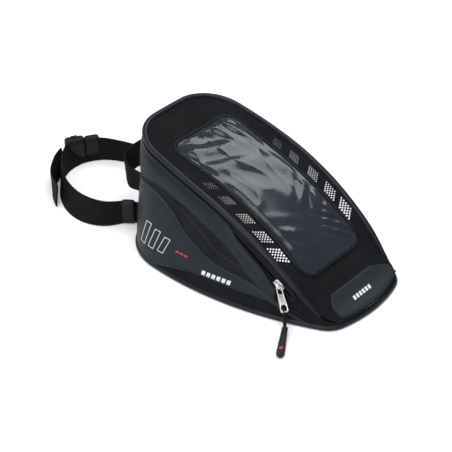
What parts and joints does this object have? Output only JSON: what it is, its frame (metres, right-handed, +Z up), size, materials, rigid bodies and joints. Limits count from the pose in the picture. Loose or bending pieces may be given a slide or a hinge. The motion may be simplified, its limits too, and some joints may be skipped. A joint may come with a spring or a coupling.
{
  "type": "tank bag",
  "caption": "Wedge-shaped motorcycle tank bag with a zipped clear-topped map lid, a carry handle and an adjustable strap loop at the tall end.",
  "frame": {"origin": "on the face that rests on the tank, on the bag's centre plane, near the middle of its length", "axes": "+Y forwards to the tall end and the strap, +X to the rider's right, +Z up off the tank"},
  "size_m": [0.233, 0.4617, 0.1373],
  "materials": {
    "black_fabric": "matt woven polyester",
    "blue_grey_pu": "satin PU-coated cloth",
    "mesh": "open spacer mesh",
    "foam": "closed-cell foam",
    "board": "stiffening board",
    "lining": "plain lining cloth",
    "grip_rubber": "non-slip backing",
    "clear_pvc": "clear flexible sheet",
    "map_cloth": "smooth backing cloth",
    "reflective": "reflective transfer print",
    "zip_tape": "woven zip tape",
    "zip_coil": "nylon coil",
    "zip_metal": "nickel-plated die casting",
    "cord": "braided cord",
    "grip": "moulded rubber",
    "webbing": "ribbed webbing",
    "buckle_plastic": "moulded acetal",
    "magnet": "plated magnet"
  },
  "bodies": {
    "bag": {"base_board": "board", "base_foam": "foam", "base_lining": "lining", "base_piping": "blue_grey_pu", "base_skin": "grip_rubber", "corner_binding_left": "blue_grey_pu", "corner_binding_right": "blue_grey_pu", "front_panel": "black_fabric", "handle_anchor_left": "webbing", "handle_anchor_right": "webbing", "lens_panel_left": "blue_grey_pu", "lens_panel_right": "blue_grey_pu", "lower_panel_left": "black_fabric", "lower_panel_right": "black_fabric", "magnets": "magnet", "mesh_panel_left": "mesh", "mesh_panel_right": "mesh", "nose_foam": "foam", "nose_panel": "black_fabric", "nose_patch": "blue_grey_pu", "nose_piping": "blue_grey_pu", "side_panel_left": "blue_grey_pu", "side_panel_right": "blue_grey_pu", "strap_anchor_left": "webbing", "strap_anchor_right": "webbing", "upper_wall": "black_fabric", "wall_foam": "foam", "wall_lining": "lining", "zip_coil_lower": "zip_coil", "zip_hood": "blue_grey_pu", "zip_tape_lower": "zip_tape"},
    "lid": {"lid_fabric": "black_fabric", "map_backing": "map_cloth", "lid_board": "board", "lid_piping": "blue_grey_pu", "window_film": "clear_pvc", "window_binding": "blue_grey_pu", "reflectors_left": "reflective", "reflectors_right": "reflective", "zip_coil_upper": "zip_coil", "zip_tape_upper": "zip_tape"},
    "slider": {"zip_slider": "zip_metal"},
    "tab": {"pull_tab": "zip_metal"},
    "grip": {"pull_cord": "cord", "pull_grip": "grip"},
    "handle": {"handle": "webbing"},
    "strap": {"strap_webbing": "webbing", "strap_tail": "webbing", "strap_keeper_left": "buckle_plastic", "strap_keeper_right": "buckle_plastic", "buckle_socket": "buckle_plastic", "buckle_plug": "buckle_plastic"},
    "button_upper": {"buckle_button_upper": "buckle_plastic"},
    "button_lower": {"buckle_button_lower": "buckle_plastic"}
  },
  "joints": [
    {"name": "lid_open", "type": "hinge", "parent": "bag", "child": "lid", "pos_m": [0, -0.10194, 0.03912], "axis": [1, 0, 0], "range_deg": [0, 85]},
    {"name": "zip_slide", "type": "slide", "parent": "bag", "child": "slider", "axis": [-0.0538, 0.8344, 0.5484], "range_m": [0, 0.058]},
    {"name": "pull_swing", "type": "hinge", "parent": "slider", "child": "tab", "pos_m": [-0.07681, -0.08198, 0.03954], "axis": [-0.2182, 0.8389, -0.4986], "range_deg": [0, 110]},
    {"name": "grip_swing", "type": "hinge", "parent": "tab", "child": "grip", "pos_m": [-0.08287, -0.09612, 0.01839], "axis": [-0.2182, 0.8389, -0.4986], "range_deg": [0, 70]},
    {"name": "handle_swing", "type": "hinge", "parent": "bag", "child": "handle", "pos_m": [0, 0.1478, 0.06], "axis": [1, 0, 0], "range_deg": [-25, 30]},
    {"name": "strap_swing", "type": "hinge", "parent": "bag", "child": "strap", "pos_m": [0, 0.1495, 0.027], "axis": [1, 0, 0], "range_deg": [0, 18]},
    {"name": "button_upper_press", "type": "slide", "parent": "strap", "child": "button_upper", "axis": [0, 0, -1], "range_m": [0, 0.002], "stiffness_N_per_m": 900},
    {"name": "button_lower_press", "type": "slide", "parent": "strap", "child": "button_lower", "axis": [0, 0, 1], "range_m": [0, 0.002], "stiffness_N_per_m": 900}
  ],
  "couplings": [
    {"joint": "button_lower_press", "follows": "button_upper_press", "ratio": 1}
  ]
}
